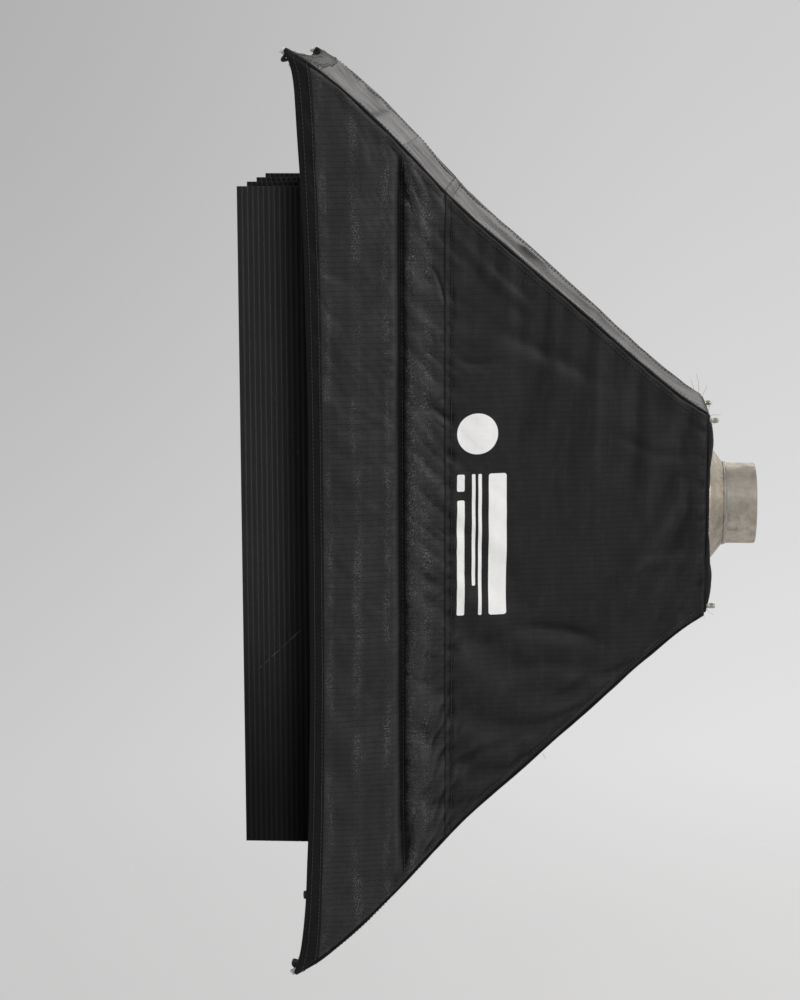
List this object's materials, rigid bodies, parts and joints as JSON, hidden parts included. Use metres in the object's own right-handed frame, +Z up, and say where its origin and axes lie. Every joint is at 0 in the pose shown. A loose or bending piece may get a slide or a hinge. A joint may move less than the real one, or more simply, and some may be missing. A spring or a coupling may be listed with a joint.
{
  "type": "strip softbox",
  "caption": "Rod-framed black fabric strip softbox on a spun aluminium dish with a turning neck collar, recessed front diffuser, inner baffle and deep slotted louvre.",
  "frame": {"origin": "on the neck axis, at the middle of the neck collar's plain outside, 33.7 mm in front of which (-X) lies the plane of the box's rear cover", "axes": "+X along the neck axis towards the lighting head, so the light leaves along -X; +Z up along the strip's long side; +Y to the right seen from behind the head"},
  "size_m": [0.475, 0.285, 0.8546],
  "materials": {
    "shell_fabric": "matte",
    "silver_lining": "satin",
    "black_webbing": "matte",
    "hook_and_loop": "matte",
    "diffusion_cloth": "matte",
    "spring_steel": "satin",
    "white_nylon": "satin",
    "plated_brass": "satin",
    "black_plastic": "satin",
    "plate_aluminium": "satin",
    "spun_aluminium": "satin",
    "ring_steel": "satin",
    "twin_wall_board": "satin"
  },
  "bodies": {
    "neck": {"neck_collar": "spun_aluminium", "retaining_ring": "ring_steel", "friction_washer": "white_nylon"},
    "box": {"baffle_snaps": "plated_brass", "bottom_front_band": "shell_fabric", "bottom_rear_panel": "shell_fabric", "corner_piping": "black_webbing", "corner_tab_bottom_left": "black_webbing", "corner_tab_bottom_right": "black_webbing", "corner_tab_top_left": "black_webbing", "corner_tab_top_right": "black_webbing", "dish_rivets": "plate_aluminium", "front_hem_tape": "black_webbing", "hem_pull_tab": "black_plastic", "left_front_band": "shell_fabric", "left_rear_panel": "shell_fabric", "lining_bottom": "silver_lining", "lining_left": "silver_lining", "lining_right": "silver_lining", "lining_top": "silver_lining", "loop_tape": "hook_and_loop", "rear_cover": "shell_fabric", "rear_piping": "black_webbing", "right_front_band": "shell_fabric", "right_rear_panel": "shell_fabric", "ring_plate": "plate_aluminium", "rod_bottom_left": "spring_steel", "rod_bottom_right": "spring_steel", "rod_sleeves": "black_webbing", "rod_tip_caps": "white_nylon", "rod_top_left": "spring_steel", "rod_top_right": "spring_steel", "speedring_dish": "spun_aluminium", "tab_eyelets": "plated_brass", "top_front_band": "shell_fabric", "top_rear_panel": "shell_fabric"},
    "baffle": {"inner_baffle": "diffusion_cloth", "baffle_tabs": "black_webbing"},
    "diffuser": {"front_diffuser": "diffusion_cloth", "diffuser_border": "black_webbing", "diffuser_hook_tape": "hook_and_loop"},
    "louvre": {"louvre_cross_panel_1": "twin_wall_board", "louvre_cross_panel_2": "twin_wall_board", "louvre_cross_panel_3": "twin_wall_board", "louvre_cross_panel_4": "twin_wall_board", "louvre_cross_panel_5": "twin_wall_board", "louvre_cross_panel_6": "twin_wall_board", "louvre_cross_panel_7": "twin_wall_board", "louvre_cross_panel_8": "twin_wall_board", "louvre_cross_panel_9": "twin_wall_board", "louvre_hook_tabs": "hook_and_loop", "louvre_long_panel_1": "twin_wall_board", "louvre_long_panel_2": "twin_wall_board", "louvre_long_panel_3": "twin_wall_board", "louvre_long_panel_4": "twin_wall_board"}
  },
  "joints": [
    {"name": "neck_swivel", "type": "hinge", "parent": "neck", "child": "box", "pos_m": [0, 0, 0], "axis": [1, 0, 0], "continuous": true},
    {"name": "baffle_release", "type": "slide", "parent": "box", "child": "baffle", "axis": [-1, 0, 0], "range_m": [0, 0.1]},
    {"name": "diffuser_release", "type": "slide", "parent": "box", "child": "diffuser", "axis": [-1, 0, 0], "range_m": [0, 0.12]},
    {"name": "louvre_release", "type": "slide", "parent": "diffuser", "child": "louvre", "axis": [-1, 0, 0], "range_m": [0, 0.13]}
  ]
}
